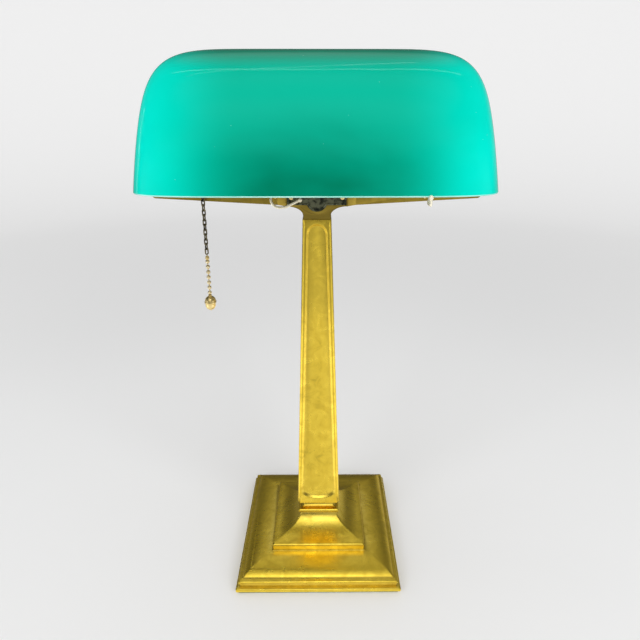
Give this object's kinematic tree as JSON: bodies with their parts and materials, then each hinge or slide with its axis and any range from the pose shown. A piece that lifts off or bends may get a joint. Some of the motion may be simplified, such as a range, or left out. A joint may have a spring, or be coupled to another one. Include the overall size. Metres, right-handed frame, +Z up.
{
  "type": "banker desk lamp",
  "caption": "Brass desk lamp with a square moulded base, tapered square column, T-shaped arm and a long green cased-glass shade over a horizontal pull-chain socket",
  "frame": {"origin": "on the table, under the middle of the square base", "axes": "+Z up along the column, +X along the arm towards the bulb's tip, the front with the blank plate faces -Y"},
  "size_m": [0.2372, 0.1323, 0.4001],
  "materials": {
    "felt": "woven felt",
    "brass": "aged, mottled",
    "old_brass": "dark patina",
    "iron": "rough cast",
    "steel": "plain",
    "wire": "bright drawn wire",
    "dark_metal": "oxidised nearly black",
    "plate": "dark bronzed, blank",
    "cork": "soft pad",
    "shade_glass": "cased, green outside and opal white inside",
    "clear_glass": "frosted",
    "porcelain": "glazed",
    "fibre": "pressed fibre",
    "bushing": "hard rubber",
    "filament": "drawn tungsten"
  },
  "bodies": {
    "lamp": {"base_pad": "felt", "base_shell": "brass", "base_weight": "iron", "cord_bushing": "bushing", "clamp_nut": "steel", "clamp_washer": "steel", "stem_tube": "old_brass", "column": "brass", "arm": "brass", "arm_nut": "old_brass", "name_plate": "plate", "plate_pins": "old_brass", "rest_pads": "cork", "hook_eyes": "old_brass", "socket_bracket": "old_brass", "bracket_screws": "steel", "nipple": "old_brass", "nipple_nut": "old_brass", "socket_cap": "brass", "socket_shell": "brass", "socket_liner": "fibre", "insulator": "porcelain", "screw_shell": "brass", "centre_contact": "brass", "terminal_screws": "brass", "lever_pin": "steel", "switch_spring": "steel", "bell_mouth": "brass"},
    "shade": {"shade": "shade_glass"},
    "bulb": {"bulb_glass": "clear_glass", "bulb_base": "brass", "bulb_insulator": "bushing", "bulb_contact": "steel", "bulb_mount": "clear_glass", "bulb_filament": "filament"},
    "switch_lever": {"switch_lever": "steel"},
    "chain_lead": {"chain_lead": "dark_metal"},
    "upper_chain": {"upper_chain": "dark_metal"},
    "lower_chain": {"chain_coupler": "old_brass", "bead_chain": "brass", "acorn_pull": "old_brass"},
    "left_hook": {"left_hook": "wire"},
    "right_hook": {"right_hook": "wire"}
  },
  "joints": [
    {"name": "chain_pull", "type": "slide", "parent": "lamp", "child": "chain_lead", "axis": [0, 0, -1], "range_m": [0, 0.007], "stiffness_N_per_m": 250, "springref_m": -0.004, "deforming": ["switch_spring"]},
    {"name": "upper_chain_swing", "type": "hinge", "parent": "chain_lead", "child": "upper_chain", "pos_m": [-0.0803, -0.0105, 0.3252], "axis": [0, 1, 0], "range_deg": [-20, 20]},
    {"name": "lower_chain_swing", "type": "hinge", "parent": "upper_chain", "child": "lower_chain", "pos_m": [-0.0803, -0.0105, 0.2615], "axis": [1, 0, 0], "range_deg": [-30, 30]},
    {"name": "switch_turn", "type": "hinge", "parent": "lamp", "child": "switch_lever", "pos_m": [-0.0803, 0, 0.344], "axis": [1, 0, 0], "range_deg": [0, 38.5]},
    {"name": "shade_lift", "type": "slide", "parent": "lamp", "child": "shade", "axis": [0, 0, 1], "range_m": [0, 0.03]},
    {"name": "bulb_turn", "type": "hinge", "parent": "lamp", "child": "bulb", "pos_m": [-0.05, 0, 0.346], "axis": [1, 0, 0], "range_deg": [0, 1080]},
    {"name": "left_hook_swing", "type": "hinge", "parent": "lamp", "child": "left_hook", "pos_m": [-0.029, -0.011, 0.306], "axis": [1, 0, 0], "range_deg": [-75, 0]},
    {"name": "right_hook_press", "type": "hinge", "parent": "lamp", "child": "right_hook", "pos_m": [0.076, -0.011, 0.306], "axis": [1, 0, 0], "range_deg": [0, 28], "stiffness_Nm_per_rad": 0.02, "springref_deg": -11.46}
  ],
  "couplings": [
    {"joint": "switch_turn", "follows": "chain_pull", "rad_per_m": 95.238}
  ]
}
